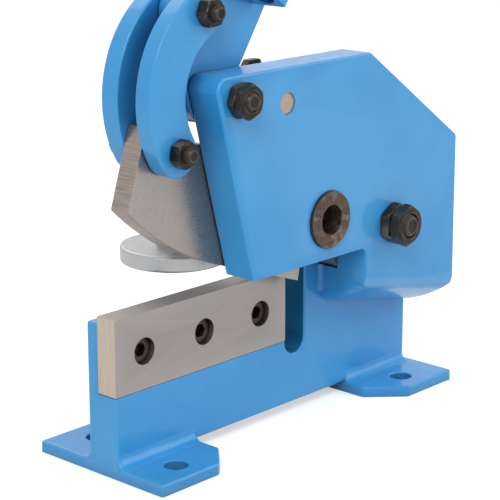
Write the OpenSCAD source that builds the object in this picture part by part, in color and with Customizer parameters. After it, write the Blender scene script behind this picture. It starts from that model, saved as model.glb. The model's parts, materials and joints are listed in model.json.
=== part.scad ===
// Bench lever shear: frame with a front cheek, fixed and moving blades, a lever with a pair of
// curved links, a tube handle and a screw hold-down.
// Millimetres, +Z up, +X from the mouth to the rear. The origin lies on the bench, at the centre
// of the four foot holes.

/* [Bed] */
// Height of the lower cutting edge above the bench
bed_h = 99; // [92:1:110]
// Thickness of the web, which is the bed, the column and the rear arm in one plate
web_t = 24; // [20:1:28]
// Width of the relief slot behind the lower blade
slot_w = 18.5; // [14:0.5:22]
// Depth of the relief slot below the lower cutting edge
slot_depth = 58; // [50:1:66]
// Length of the column behind the slot
column_l = 107.5; // [98:0.5:115]
// How far the bed's top lies below the lower cutting edge
strip_drop = 4.4; // [1:0.2:8]
// Height of the rear arm's top above the lower cutting edge
arm_top = 130; // [126:1:133]
// Distance of the rear arm's lower front corner from the front end of the bed
arm_front = 130; // [126:1:134]

/* [Feet] */
// Thickness of the two foot plates
foot_t = 7.5; // [6:0.5:10]
// Width of the feet across the web
foot_w = 107.5; // [98:0.5:114]
// How far the middle of the feet lies behind the middle of their holes
foot_set = 2.25; // [0:0.25:4]
// How far the middle of the foot holes lies behind the web's middle
web_shift = 1.5; // [0:0.1:3]
// Length of the front foot
front_foot_l = 66.5; // [60:0.5:76]
// Length of the rear foot
rear_foot_l = 71; // [64:1:80]
// How far the rear foot reaches past the column
rear_foot_over = 5.8; // [3:0.2:12]
// Size of the front foot's inner corner chamfers
front_chamfer = 18.5; // [10:0.5:20]
// Size of the rear foot's inner corner chamfers
rear_chamfer = 22; // [10:1:24]
// Diameter of the bench bolt holes
foot_hole_d = 14.5; // [10:0.5:16]
// Distance of the front holes from the front end
front_hole_x = 28.3; // [22:0.1:34]
// Distance of the rear holes from the rear foot's inner edge
rear_hole_x = 35.6; // [32:0.1:42]
// Spacing of the bench bolt holes across the web
hole_pitch_y = 68.5; // [62:0.5:76]
// Leg of the weld fillets between web and feet
weld_leg = 6.5; // [4:0.5:8]

/* [Blades] */
// Length of the lower blade
blade_l = 150; // [140:1:165]
// Height of the lower blade
lower_blade_h = 48; // [42:1:52]
// Thickness of the lower blade
lower_blade_t = 15; // [12:0.5:17]
// Spacing of the lower blade's screws
screw_pitch = 51; // [40:1:56]
// Thread diameter of the lower blade's screws
screw_d = 10; // [8:1:10]
// Diameter of the counterbores for the screw heads
counterbore_d = 16.5; // [15:0.5:18]
// Depth of the counterbores
counterbore_depth = 10; // [8:0.5:11]
// Thickness of the upper blade
upper_blade_t = 14; // [12:0.5:16]
// Angle of the straight part of the open cutting edge
cut_angle = 19; // [16:0.5:21]
// Length of the straight part, measured along the bed from the heel
straight_l = 73.5; // [60:0.5:85]
// Radius of the curved nose of the cutting edge
nose_r = 200; // [170:1:260]
// Lean of the blade's front end
blade_lean = 17.7; // [12:0.1:20]
// Height of the blade's heel below the lower cutting edge
heel_drop = 3.5; // [2:0.1:5]
// Height of the top of the blade's front end above the lower cutting edge
blade_top = 113.5; // [112:0.5:118]
// Radius of the eye around the blade pivot
eye_r = 38.5; // [34:0.5:42]
// Gap at each side of the blade
side_gap = 0.25; // [0.15:0.05:0.4]

/* [Cheek] */
// Thickness of the front cheek
cheek_t = 24; // [20:1:28]
// Height of the cheek's top above the lower cutting edge
cheek_top = 139.5; // [136:0.5:145]
// Height of the cheek's lower edge above the lower cutting edge
cheek_bottom = 14.4; // [10:0.2:17]
// Distance of the cheek's lower front corner from the front end of the bed
cheek_front = 78.7; // [74:0.1:84]
// Lean of the front edges of the cheek and of the rear arm
cheek_lean = 15; // [12:0.5:18]
// Length of the level part of the cheek's top
cheek_top_l = 140.5; // [130:0.5:150]
// Height of the rear edge's upper corner above the lower cutting edge
cheek_rear_top = 74.7; // [70:0.1:84]
// How far the cheek reaches past the column
cheek_over = 2.5; // [0:0.5:6]
// Distance of the boss from the relief slot
boss_inset = 15.8; // [12:0.2:20]
// Depth of the boss's front lower corner below the lower cutting edge
boss_drop = 10.6; // [7:0.2:14]
// Fall of the boss's lower edge along its length
boss_fall = 11.4; // [6:0.2:14]
// Depth of the boss's lower corner at the web below the lower cutting edge
boss_back_drop = 28.3; // [20:0.1:34]
// Radius of the boss's underside, from the cheek's face to the web
boss_r = 100; // [60:1:160]
// Radius of the cheek's upper front corner
cheek_corner_r = 8; // [3:1:12]

/* [Pivots] */
// Distance of the blade pivot from the relief slot
blade_pivot_x = 41.2; // [38:0.2:46]
// Height of the blade pivot above the lower cutting edge
blade_pivot_z = 26.8; // [24:0.2:30]
// Diameter of the blade pivot bolt
blade_bolt_d = 16; // [14:1:18]
// Distance of the lever pivot from the front end of the bed
lever_pivot_x = 64.7; // [63:0.1:68]
// Height of the lever pivot above the lower cutting edge
lever_pivot_z = 125.4; // [123:0.2:127]
// Diameter of the lever pivot bolt
lever_bolt_d = 12; // [10:1:14]
// Wall of the bronze bushes on both pivots
bush_wall = 3; // [2:0.5:4]
// Diameter of the link bolts
link_bolt_d = 10; // [8:1:12]
// Distance of the stop pin from the front end of the bed
stop_x = 107.2; // [102:0.2:114]
// Height of the stop pin above the lower cutting edge
stop_z = 117.8; // [112:0.2:119]
// Diameter of the stop pin
stop_d = 13; // [10:0.5:15]
// Running clearance of shafts in their bores, on the radius
running = 0.05; // [0.02:0.01:0.1]

/* [Round bar cutter] */
// Distance of the bar hole from the front end of the bed
bar_x = 146.4; // [140:0.2:152]
// Height of the bar hole above the lower cutting edge
bar_z = 40.3; // [37:0.2:44]
// Diameter of the bar hole
bar_d = 18.6; // [12:0.2:20]
// Outer diameter of the cheek's bar bush
cheek_bush_d = 36.4; // [30:0.2:40]
// Outer diameter of the blade's bar bush
blade_bush_d = 30; // [26:0.5:34]
// How far the cheek's bush stands proud
bush_proud = 1.5; // [0.5:0.5:4]

/* [Links] */
// Radius of the links' middle line
link_r = 54.6; // [52:0.2:57]
// Width of the links
link_w = 29; // [26:0.5:31]
// Thickness of the front link
link_t = 12; // [9:0.5:14]
// Thickness of the rear link
rear_link_t = 13; // [10:0.5:14]
// Distance of the links' arc centre from the front end of the bed
link_x = 74.6; // [73:0.2:77]
// Height of the links' arc centre above the lower cutting edge
link_z = 126.6; // [125:0.2:129]
// Angle of the lower link bolt around the arc centre
link_low = 211.4; // [209:0.2:214]
// Angle of the upper link bolt around the arc centre
link_high = 116; // [113:0.5:119]

/* [Lever and handle] */
// Lean of the lever and handle behind the vertical
handle_lean = 33.5; // [28:0.5:38]
// Radius of the lever around its pivot
lever_eye_r = 17; // [16:0.5:20]
// Radius of the lever around the upper link bolt
lever_nose_r = 12; // [10:0.5:14]
// Distance from the lever pivot to the lever's straight rear edge
lever_rear = 15.1; // [13:0.1:15.5]
// Length of the lever above its pivot
lever_l = 98; // [90:1:120]
// Width of the lever's top edge
lever_top_w = 47; // [38:1:54]
// Outer width of the square handle socket
socket_w = 26; // [24:0.5:30]
// Length of the handle socket
socket_l = 60; // [45:1:80]
// Distance of the socket's lower end from the lever pivot
socket_start = 62.3; // [58:0.5:68]
// Setback of the socket from the lever's rear edge
socket_inset = 9.6; // [6:0.2:14]
// Diameter of the handle tube
handle_d = 20; // [18:0.5:20]
// Wall of the handle tube
handle_wall = 2.5; // [1.5:0.5:4]
// Length of the handle tube
handle_l = 370; // [300:5:450]
// How far the tube stays above the socket's lower end
handle_setback = 14; // [5:1:20]
// Length of the grip
grip_l = 125; // [90:1:150]
// Outer diameter of the grip
grip_d = 29; // [25:0.5:34]

/* [Hold-down] */
// Distance of the hold-down screw from the front end of the bed
screw_x = 85; // [82:0.5:88]
// Distance of the hold-down screw behind the shear plane
screw_y = 36; // [35:0.5:40]
// Diameter of the hold-down screw
spindle_d = 14; // [12:1:16]
// Length of the hold-down screw below its head
spindle_l = 136; // [134:1:150]
// Diameter of the pad
pad_d = 67; // [55:1:68]
// Thickness of the pad
pad_t = 10.3; // [6:0.1:12]
// Height of the pad above the lower cutting edge
pad_lift = 13.4; // [13:0.2:20]
// Thickness of the bracket
bracket_t = 10; // [8:0.5:14]
// Height of the bracket's boss
bracket_boss_h = 24; // [20:1:26]
// Diameter of the bracket's boss
bracket_boss_d = 28; // [24:0.5:28]
// Distance of the first bracket bolt from the front end of the bed
bracket_bolt_x = 158; // [150:0.5:160]
// Depth of the first bracket bolt below the arm's top
bracket_bolt_drop = 7.7; // [7:0.1:11]
// Diameter of the bracket bolts
bracket_bolt_d = 10; // [8:1:10]

/* [Hidden] */
$fn = 64;
corner_steps = 8;
fit_gap = 0.05;
hex_corner = 2 / sqrt(3);
paint_blue = "#3f9ade";
deep_blue = "#2a5f9c";
tool_steel = "#a39c93";
black_oxide = "#3a342f";
bush_brown = "#6a5a4b";
bronze = "#a9824a";
zinc = "#c9cbcc";
bare_steel = "#c2ac8c";
rubber_black = "#1d1d1f";

// Plan of the bed, counted from its front end
gap_w = upper_blade_t + 2 * side_gap;
slot_end = blade_l + slot_w;
column_end = slot_end + column_l;
rear_foot_end = column_end + rear_foot_over;
rear_foot_start = rear_foot_end - rear_foot_l;
rear_hole = rear_foot_start + rear_hole_x;
bed_x = -(front_hole_x + rear_hole) / 2;
web_foot = foot_t - bed_h;
cheek_y = -gap_w - cheek_t;
blade_y = side_gap - gap_w;
cut = 1;

// Pivots, as distance from the front end and height above the cutting edge
pivot_b = [slot_end + blade_pivot_x, blade_pivot_z];
pivot_a = [lever_pivot_x, lever_pivot_z];
link_centre = [link_x, link_z];
pivot_c = link_centre + link_r * [cos(link_low), sin(link_low)];
pivot_d = link_centre + link_r * [cos(link_high), sin(link_high)];
stop_pin_at = [stop_x, stop_z];
bar_at = [bar_x, bar_z];

// The lower link bolt wanders this far in the blade's slot over the stroke
wander_low = [6.2, -3.9];
wander_high = [-4.9, 4.6];
wander_side = 1.2;

// Outline helpers
function unit(v) = v / norm(v);
function bearing(v) = atan2(v.y, v.x);
function turn_between(from, to) = (to - from + 540) % 360 - 180;
function corner(a, p, b, r) = let (
    u = unit(a - p),
    v = unit(b - p),
    half = acos(u * v) / 2,
    c = p + unit(u + v) * r / sin(half),
    start = bearing(p + u * r / tan(half) - c),
    sweep = turn_between(start, bearing(p + v * r / tan(half) - c))
) [for (i = [0 : corner_steps]) c + r * [cos(start + sweep * i / corner_steps),
                                         sin(start + sweep * i / corner_steps)]];
function rounded(points, radii) = let (n = len(points)) [
    for (i = [0 : n - 1]) each radii[i] == 0 ? [points[i]]
        : corner(points[(i + n - 1) % n], points[i], points[(i + 1) % n], radii[i])];

function arc(c, r, from, to, steps) = [for (i = [0 : steps])
    let (a = from + (to - from) * i / steps) c + r * [cos(a), sin(a)]];

// Arc through two points that runs on past both by an angle
function arc_through(p, q, r, over, steps) = let (
    half = (q - p) / 2,
    c = p + half + unit([-half.y, half.x]) * sqrt(r * r - half * half),
    start = bearing(p - c)
) arc(c, r, start - over, start + turn_between(start, bearing(q - c)) + over, steps);

// Bearing at which a straight edge from p touches a circle
function touch(p, c, r, side) = bearing(p - c) + side * acos(r / norm(p - c));

// Bearing at which a straight edge touches two circles from outside
function bridge(c1, r1, c2, r2, side) = bearing(c2 - c1) + side * acos((r1 - r2) / norm(c2 - c1));

// Places the children in bed coordinates: front end, shear plane and lower cutting edge are zero
module bed() {
    translate([bed_x, -web_t / 2 - web_shift, bed_h]) children();
}

// Extrudes an upright outline from y0 to y1
module slab(y0, y1) {
    translate([0, y1, 0]) rotate([90, 0, 0]) linear_extrude(y1 - y0) children();
}

// Cylinder across the frame at an upright point
module rod(at, d, y0, y1) {
    translate([at.x, y1, at.y]) rotate([90, 0, 0]) cylinder(d = d, h = y1 - y0);
}

// Hexagon prism with chamfered outer corners, standing on y = 0 and pointing to the front
hex_face = 0.95;
hex_slope = sqrt(3);

module hex(at, across, height, turn = 0) {
    face_r = across / 2 * hex_face;
    rotate([90, 0, 0]) translate([at.x, at.y, 0]) rotate(turn) intersection() {
        cylinder(d = across * hex_corner, h = height, $fn = 6);
        cylinder(r1 = face_r + height * hex_slope, r2 = face_r, h = height);
    }
}

module hex_front(at, across, height, y0, turn = 0) {
    translate([0, y0, 0]) hex(at, across, height, turn);
}

module hex_back(at, across, height, y0, turn = 0) {
    translate([0, y0, 0]) mirror([0, 1, 0]) hex(at, across, height, turn);
}

// Frame

arm_lean_run = (arm_top - cheek_bottom) * tan(cheek_lean);
cheek_lean_run = (cheek_top - cheek_bottom) * tan(cheek_lean);
cheek_top_front = cheek_front - cheek_lean_run;
cheek_end = column_end + cheek_over;
arm_shoulder = cheek_top_front + cheek_top_l;
arm_rear_drop = 4.8;
bar_relief = 4;
screw_play = 0.5;
screw_hole_d = screw_d + screw_play;
bracket_hole_depth = 20;
bracket_bolt_gap = 32;
bracket_bolts = [[bracket_bolt_x, arm_top - bracket_bolt_drop],
                 [bracket_bolt_x + bracket_bolt_gap, arm_top - 2 * bracket_bolt_drop]];
lower_screws = [for (i = [-1 : 1]) [blade_l / 2 + i * screw_pitch, -lower_blade_h / 2]];

module web_plate() {
    slot_r = slot_w / 2;
    color(paint_blue) bed() difference() {
        slab(0, web_t) polygon([
            [0, web_foot], [column_end, web_foot], [column_end, cheek_rear_top - arm_rear_drop],
            [arm_shoulder, arm_top], [arm_front - arm_lean_run, arm_top],
            [arm_front, cheek_bottom], [slot_end, cheek_bottom], [slot_end, -strip_drop],
            [0, -strip_drop]]);
        slab(-cut, lower_blade_t) translate([-cut, -lower_blade_h])
            square([blade_l + cut, lower_blade_h + cut]);
        slab(-cut, web_t + cut) translate([blade_l, slot_r - slot_depth])
            square([slot_w, slot_depth]);
        rod([blade_l + slot_r, slot_r - slot_depth], slot_w, -cut, web_t + cut);
        for (at = lower_screws) rod(at, screw_hole_d, -cut, web_t + cut);
        rod(pivot_b, blade_bolt_d + 2 * running, -cut, web_t + cut);
        rod(bar_at, bar_d + bar_relief, -cut, web_t + cut);
        for (at = bracket_bolts)
            rod(at, bracket_bolt_d + 2 * fit_gap, web_t - bracket_hole_depth, web_t + cut);
    }
}

boss_x = slot_end + boss_inset;
boss_l = cheek_end - boss_x;
eye_gap = 1;
cheek_toe_r = 2;
cheek_shoulder_r = 3;

boss_steps = 10;
boss_over = 3;
boss_arc = arc_through([cheek_y, -boss_drop], [0, -boss_back_drop], boss_r, boss_over, boss_steps);
boss_profile = concat(boss_arc, [[boss_arc[boss_steps].x, bed_h], [boss_arc[0].x, bed_h]]);

// Boss below the pivot: its underside falls towards the web and towards the rear
module boss() {
    reach = boss_l + 2 * bed_h;
    intersection() {
        slab(cheek_y, 0) translate([boss_x, -bed_h]) square([boss_l, bed_h + blade_pivot_z]);
        translate([boss_x, 0, 0]) rotate([0, boss_fall, 0]) translate([-bed_h, 0, 0])
            rotate([90, 0, 90]) linear_extrude(reach)
                polygon([for (p = boss_profile) [p.x, p.y * cos(boss_fall)]]);
    }
}

module cheek() {
    color(paint_blue) bed() difference() {
        union() {
            slab(cheek_y, -gap_w) polygon(rounded(
                [[cheek_front, cheek_bottom], [cheek_end, cheek_bottom],
                 [cheek_end, cheek_rear_top], [cheek_top_front + cheek_top_l, cheek_top],
                 [cheek_top_front, cheek_top]],
                [cheek_toe_r, 0, cheek_shoulder_r, cheek_shoulder_r, cheek_corner_r]));
            boss();
        }
        rod(pivot_b, 2 * (eye_r + eye_gap), -gap_w, cut);
        rod(pivot_b, blade_bolt_d + 2 * running, cheek_y - cut, cut);
        rod(pivot_a, lever_bolt_d + 2 * running, cheek_y - cut, cut);
        rod(stop_pin_at, stop_d + 2 * fit_gap, cheek_y - cut, cut);
        rod(bar_at, cheek_bush_d + 2 * fit_gap, cheek_y - cut, cut);
    }
}

// Plan of a foot: the inner corners are chamfered
module foot_plan(length, chamfer, inner_first) {
    w = foot_w / 2;
    outline = [[0, -w], [length - chamfer, -w], [length, chamfer - w],
               [length, w - chamfer], [length - chamfer, w], [0, w]];
    if (inner_first) translate([length, 0]) mirror([1, 0]) polygon(outline);
    else polygon(outline);
}

module foot(start, length, chamfer, hole, inner_first) {
    translate([bed_x, 0, 0]) difference() {
        translate([start, foot_set, 0]) linear_extrude(foot_t) foot_plan(length, chamfer, inner_first);
        for (side = [-1, 1]) translate([hole, side * hole_pitch_y / 2, -cut])
            cylinder(d = foot_hole_d, h = foot_t + 2 * cut);
    }
}

module front_foot() {
    color(paint_blue) foot(0, front_foot_l, front_chamfer, front_hole_x, false);
}

module rear_foot() {
    color(paint_blue) foot(rear_foot_start, rear_foot_l, rear_chamfer, rear_hole, true);
}

weld_hollow = 0.92;

// Concave weld fillet along +X, against a wall at y = 0 and a floor at z = 0
module weld_run(length) {
    rotate([90, 0, 90]) linear_extrude(length) difference() {
        square(weld_leg);
        translate([weld_leg, weld_leg]) circle(r = weld_leg * weld_hollow);
    }
}

module foot_welds() {
    rear_run = column_end - rear_foot_start;
    color(paint_blue) translate([bed_x, -web_shift, foot_t]) for (side = [0, 1]) mirror([0, side, 0])
        translate([0, web_t / 2, 0]) {
            weld_run(front_foot_l);
            translate([rear_foot_start, 0, 0]) weld_run(rear_run);
        }
}

// Blades

module lower_blade() {
    color(tool_steel) bed() difference() {
        slab(0, lower_blade_t) translate([0, -lower_blade_h]) square([blade_l, lower_blade_h]);
        for (at = lower_screws) {
            rod(at, screw_hole_d, -cut, lower_blade_t + cut);
            rod(at, counterbore_d, -cut, counterbore_depth);
        }
    }
}

screw_head_d = screw_d * 1.5;
screw_head_h = screw_d * 0.6;
hex_socket = screw_d * 0.8;
screw_across = screw_d * 1.7;
screw_nut_h = screw_d * 0.8;
screw_tail = 2;

module lower_blade_screws() {
    color(black_oxide) bed() for (at = lower_screws) difference() {
        union() {
            rod(at, screw_d, counterbore_depth, web_t + screw_nut_h + screw_tail);
            rod(at, screw_head_d, counterbore_depth - screw_head_h, counterbore_depth);
        }
        hex_front(at, hex_socket, screw_head_h, counterbore_depth - screw_head_h / 4);
    }
}

module lower_blade_nuts() {
    color(black_oxide) bed() for (at = lower_screws) difference() {
        hex_back(at, screw_across, screw_nut_h, web_t);
        rod(at, screw_d + 2 * fit_gap, web_t - cut, web_t + screw_nut_h + cut);
    }
}

heel_setback = 4.5;
heel_x = blade_l - heel_setback;
heel = [heel_x, -heel_drop];
heel_step = [2.5, 11.5];
notch_turn = 205;
nose_start = [heel_x - straight_l, straight_l * tan(cut_angle) - heel_drop];
nose_centre = nose_start + nose_r * [sin(cut_angle), cos(cut_angle)];
nose_over = 1;
nose_sweep = asin((nose_centre.x + nose_over) / nose_r) - cut_angle;
nose_steps = 14;
nose = [for (i = [0 : nose_steps]) let (a = cut_angle + nose_sweep * i / nose_steps)
        nose_centre - nose_r * [sin(a), cos(a)]];
blade_tip = nose[nose_steps];
blade_front_top = [blade_tip.x + (blade_top - blade_tip.y) * tan(blade_lean), blade_top];
front_flat = 9;
back_start = pivot_c + [16, 2];
back_turn = touch(back_start, pivot_b, eye_r, -1);
eye_steps = 42;
slot_steps = 16;

module upper_blade() {
    slot_half = link_bolt_d / 2 + wander_side;
    slot_turn = bearing(wander_high - wander_low);
    color(tool_steel) bed() difference() {
        slab(blade_y, -side_gap) polygon(concat(
            [heel], nose,
            [blade_front_top, [pivot_c.x + front_flat, blade_top], back_start],
            arc(pivot_b, eye_r, back_turn, notch_turn - 360, eye_steps), [heel + heel_step]));
        rod(pivot_b, blade_bolt_d + 2 * (bush_wall + running + fit_gap), -gap_w, 0);
        rod(bar_at, blade_bush_d + 2 * fit_gap, -gap_w, 0);
        slab(-gap_w, 0) polygon(concat(
            arc(pivot_c + wander_low, slot_half, slot_turn + 90, slot_turn + 270, slot_steps),
            arc(pivot_c + wander_high, slot_half, slot_turn - 90, slot_turn + 90, slot_steps)));
    }
}

module ring(at, outer, inner, y0, y1) {
    difference() {
        rod(at, outer, y0, y1);
        rod(at, inner, y0 - cut, y1 + cut);
    }
}

module blade_pivot_bush() {
    bore = blade_bolt_d + 2 * running;
    color(bronze) bed() ring(pivot_b, bore + 2 * bush_wall, bore, blade_y, -side_gap);
}

module blade_bar_bush() {
    color(bush_brown) bed() ring(bar_at, blade_bush_d, bar_d, blade_y, -side_gap);
}

module cheek_bar_bush() {
    color(bush_brown) bed() ring(bar_at, cheek_bush_d, bar_d, cheek_y - bush_proud, -gap_w);
}

// Blade pivot: head behind the web, two thin nuts in front of the cheek

blade_nut_h = blade_bolt_d * 0.48;
blade_nut_across = blade_bolt_d * 1.5;
blade_bolt_head_h = blade_bolt_d * 0.625;
blade_washer_t = 3;
nut_tail = 1.5;
second_nut_turn = 24;
lever_nut_turn = 8;
blade_nut_turn = 30;

module blade_pivot_bolt() {
    head_y = web_t + blade_washer_t;
    color(black_oxide) bed() {
        rod(pivot_b, blade_bolt_d, cheek_y - 2 * blade_nut_h - nut_tail, head_y);
        hex_back(pivot_b, blade_nut_across, blade_bolt_head_h, head_y);
    }
}

module blade_pivot_washer() {
    color(black_oxide) bed()
        ring(pivot_b, 2 * blade_bolt_d, blade_bolt_d + 2 * fit_gap, web_t, web_t + blade_washer_t);
}

module thin_nut(at, across, height, d, y0, turn) {
    difference() {
        hex_front(at, across, height, y0, turn);
        rod(at, d + 2 * fit_gap, y0 - height - cut, y0 + cut);
    }
}

module blade_pivot_nut() {
    color(black_oxide) bed()
        thin_nut(pivot_b, blade_nut_across, blade_nut_h, blade_bolt_d, cheek_y, blade_nut_turn);
}

module blade_pivot_locknut() {
    color(black_oxide) bed() thin_nut(pivot_b, blade_nut_across, blade_nut_h, blade_bolt_d,
                                      cheek_y - blade_nut_h, second_nut_turn);
}

// Lever pivot: carried by the cheek alone, head behind the lever

lever_nut_h = lever_bolt_d * 0.45;
lever_nut_across = lever_bolt_d * 1.58;
lever_washer_t = 1.8;
lever_bolt_head_h = lever_bolt_d * 0.6;

module lever_pivot_bolt() {
    head_y = side_gap + lever_washer_t;
    color(black_oxide) bed() {
        rod(pivot_a, lever_bolt_d, cheek_y - 2 * lever_nut_h - nut_tail, head_y);
        hex_back(pivot_a, lever_nut_across, lever_bolt_head_h, head_y);
    }
}

module lever_pivot_washer() {
    color(black_oxide) bed() ring(pivot_a, 2 * lever_bolt_d, lever_bolt_d + 2 * fit_gap,
                                  side_gap, side_gap + lever_washer_t);
}

module lever_pivot_nut() {
    color(black_oxide) bed()
        thin_nut(pivot_a, lever_nut_across, lever_nut_h, lever_bolt_d, cheek_y, lever_nut_turn);
}

module lever_pivot_locknut() {
    color(black_oxide) bed() thin_nut(pivot_a, lever_nut_across, lever_nut_h, lever_bolt_d,
                                      cheek_y - lever_nut_h, second_nut_turn);
}

module stop_pin() {
    color(bare_steel) bed() rod(stop_pin_at, stop_d, cheek_y, -side_gap);
}

// Links

link_front = [-gap_w - link_t, -gap_w];
link_back = [0, rear_link_t];
sector_reach = 3;

module link_plate(y) {
    difference() {
        union() {
            intersection() {
                difference() {
                    rod(link_centre, 2 * link_r + link_w, y[0], y[1]);
                    rod(link_centre, 2 * link_r - link_w, y[0] - cut, y[1] + cut);
                }
                slab(y[0] - cut, y[1] + cut) polygon([
                    link_centre,
                    link_centre + sector_reach * (pivot_c - link_centre),
                    link_centre - [sector_reach * link_r, 0],
                    link_centre + sector_reach * (pivot_d - link_centre)]);
            }
            for (at = [pivot_c, pivot_d]) rod(at, link_w, y[0], y[1]);
        }
        for (at = [pivot_c, pivot_d])
            rod(at, link_bolt_d + 2 * running, y[0] - cut, y[1] + cut);
    }
}

module front_link() {
    color(paint_blue) bed() link_plate(link_front);
}

module rear_link() {
    color(paint_blue) bed() link_plate(link_back);
}

link_across = link_bolt_d * 1.5;
link_nut_h = link_bolt_d * 0.8;
link_head_h = link_bolt_d * 0.8;
link_washer_t = 2;
link_head_y = link_back[1] + link_washer_t;
link_tail = 4;
lower_link_turn = 20;
upper_link_turn = 5;

module link_bolt(at) {
    rod(at, link_bolt_d, link_front[0] - link_nut_h - link_tail, link_head_y);
    hex_back(at, link_across, link_head_h, link_head_y);
}

module link_nut(at, turn) {
    thin_nut(at, link_across, link_nut_h, link_bolt_d, link_front[0], turn);
}

module link_washers() {
    color(black_oxide) bed() for (at = [pivot_c, pivot_d])
        ring(at, 2 * link_bolt_d, link_bolt_d + 2 * fit_gap, link_back[1], link_head_y);
}

module lower_link_bolt() {
    color(black_oxide) bed() link_bolt(pivot_c);
}

module upper_link_bolt() {
    color(black_oxide) bed() link_bolt(pivot_d);
}

module lower_link_nut() {
    color(black_oxide) bed() link_nut(pivot_c, lower_link_turn);
}

module upper_link_nut() {
    color(black_oxide) bed() link_nut(pivot_d, upper_link_turn);
}

// Lever, counted from its pivot: x across the lever, y along the handle

function in_lever(at) = let (d = at - pivot_a)
    [d.x * cos(handle_lean) - d.y * sin(handle_lean), d.x * sin(handle_lean) + d.y * cos(handle_lean)];
nose_at = in_lever(pivot_d);
lever_top_front = [lever_rear - lever_top_w, lever_l];
lever_turn = bridge(nose_at, lever_nose_r, [0, 0], lever_eye_r, -1) + 360;
lever_front_turn = touch(lever_top_front, nose_at, lever_nose_r, 1);
lever_eye_steps = 36;
lever_nose_steps = 12;
stop_gap = 0.3;
stop_heel_h = 11;
stop_heel_over = 8;

module at_lever() {
    bed() translate([pivot_a.x, 0, pivot_a.y]) rotate([0, handle_lean, 0]) children();
}

stop_heel_z = stop_z + stop_d / 2 + stop_gap;
stop_heel_top = stop_heel_z + stop_heel_h;
stop_heel_end = stop_x + stop_heel_over;
stop_heel_turn = asin((stop_heel_z - pivot_a.y) / lever_eye_r) + handle_lean + 360;
stop_heel_root = pivot_a.x
    + (lever_rear + (stop_heel_top - pivot_a.y) * sin(handle_lean)) / cos(handle_lean);

module lever_plate() {
    color(paint_blue) at_lever() difference() {
        slab(blade_y, -side_gap) polygon(concat(
            arc([0, 0], lever_eye_r, lever_turn, stop_heel_turn, lever_eye_steps),
            [in_lever([stop_heel_end, stop_heel_z]), in_lever([stop_heel_end, stop_heel_top]),
             in_lever([stop_heel_root, stop_heel_top]), [lever_rear, lever_l], lever_top_front],
            arc(nose_at, lever_nose_r, lever_front_turn, lever_turn, lever_nose_steps)));
        rod([0, 0], lever_bolt_d + 2 * (bush_wall + running + fit_gap), -gap_w, 0);
        rod(nose_at, link_bolt_d + 2 * running, -gap_w, 0);
    }
}

module lever_bush() {
    bore = lever_bolt_d + 2 * running;
    color(bronze) bed() ring(pivot_a, bore + 2 * bush_wall, bore, blade_y, -side_gap);
}

socket_x = lever_rear - socket_inset - socket_w / 2;
socket_y = blade_y - socket_w / 2;
socket_bore = handle_d + 2 * fit_gap;
socket_corner = 2.5;
handle_start = socket_start + handle_setback;
handle_screw_d = 8;
handle_screw_place = 0.62;
handle_screw_z = socket_start + handle_screw_place * socket_l;
handle_screw_across = handle_screw_d * 1.625;
handle_screw_head_h = handle_screw_d * 0.66;

// Places the children on the handle's axis, at the lever pivot's height along it
module on_handle() {
    at_lever() translate([socket_x, socket_y, 0]) children();
}

module handle_socket() {
    inner = socket_w - 2 * socket_corner;
    color(deep_blue) on_handle() translate([0, 0, socket_start]) difference() {
        union() {
            linear_extrude(socket_l) square([socket_w, inner], center = true);
            linear_extrude(socket_l) square([inner, socket_w], center = true);
            for (x = [-1, 1], y = [-1, 1]) translate([x, y, 0] * inner / 2)
                cylinder(r = socket_corner, h = socket_l);
        }
        translate([0, 0, -cut]) cylinder(d = socket_bore, h = socket_l + 2 * cut);
        translate([0, 0, handle_screw_z - socket_start]) rotate([90, 0, 0])
            cylinder(d = handle_screw_d + 2 * fit_gap, h = socket_w);
    }
}

module handle_screw() {
    color(black_oxide) on_handle() translate([0, 0, handle_screw_z]) rotate([90, 0, 0]) {
        translate([0, 0, handle_d / 2]) cylinder(d = handle_screw_d, h = socket_w / 2 - handle_d / 2);
        translate([0, 0, socket_w / 2])
            cylinder(d = handle_screw_across * hex_corner, h = handle_screw_head_h, $fn = 6);
    }
}

module handle_tube() {
    color(deep_blue) on_handle() translate([0, 0, handle_start]) difference() {
        cylinder(d = handle_d, h = handle_l);
        translate([0, 0, -cut]) cylinder(d = handle_d - 2 * handle_wall, h = handle_l + 2 * cut);
    }
}

grip_over = 6;
grip_round = 5;

module handle_grip() {
    r = grip_d / 2;
    bore = handle_d / 2 + fit_gap;
    color(rubber_black) on_handle() translate([0, 0, handle_start + handle_l - grip_l])
        rotate_extrude() difference() {
            polygon([[0, 0], [r - grip_round / 2, 0], [r, grip_round / 2],
                     [r, grip_l + grip_over - grip_round],
                     [r - grip_round, grip_l + grip_over], [0, grip_l + grip_over]]);
            square([bore, grip_l + fit_gap]);
        }
}

// Hold-down behind the shear plane

boss_z = arm_top - bracket_boss_h;
bracket_end = 14;
bracket_reach = bracket_bolts[1].x + bracket_end;
bracket_drop = 6;
bracket_step = 1.5;
bracket_r = 5;

module hold_down_bracket() {
    color(paint_blue) bed() difference() {
        union() {
            slab(web_t, web_t + bracket_t) polygon(rounded(
                [[screw_x, boss_z], [bracket_reach, boss_z - bracket_drop],
                 [bracket_reach, boss_z + bracket_boss_h / 2],
                 [bracket_bolt_x + bracket_end, arm_top - bracket_step],
                 [screw_x, arm_top - bracket_step]],
                [0, bracket_r, bracket_r, bracket_r, 0]));
            translate([screw_x, screw_y, boss_z])
                cylinder(d = bracket_boss_d, h = bracket_boss_h);
        }
        translate([screw_x, screw_y, boss_z - cut])
            cylinder(d = spindle_d + 2 * running, h = bracket_boss_h + 2 * cut);
        for (at = bracket_bolts)
            rod(at, bracket_bolt_d + 2 * fit_gap, web_t - cut, web_t + bracket_t + cut);
    }
}

bracket_across = bracket_bolt_d * 1.7;
bracket_head_h = bracket_bolt_d * 0.64;

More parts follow.
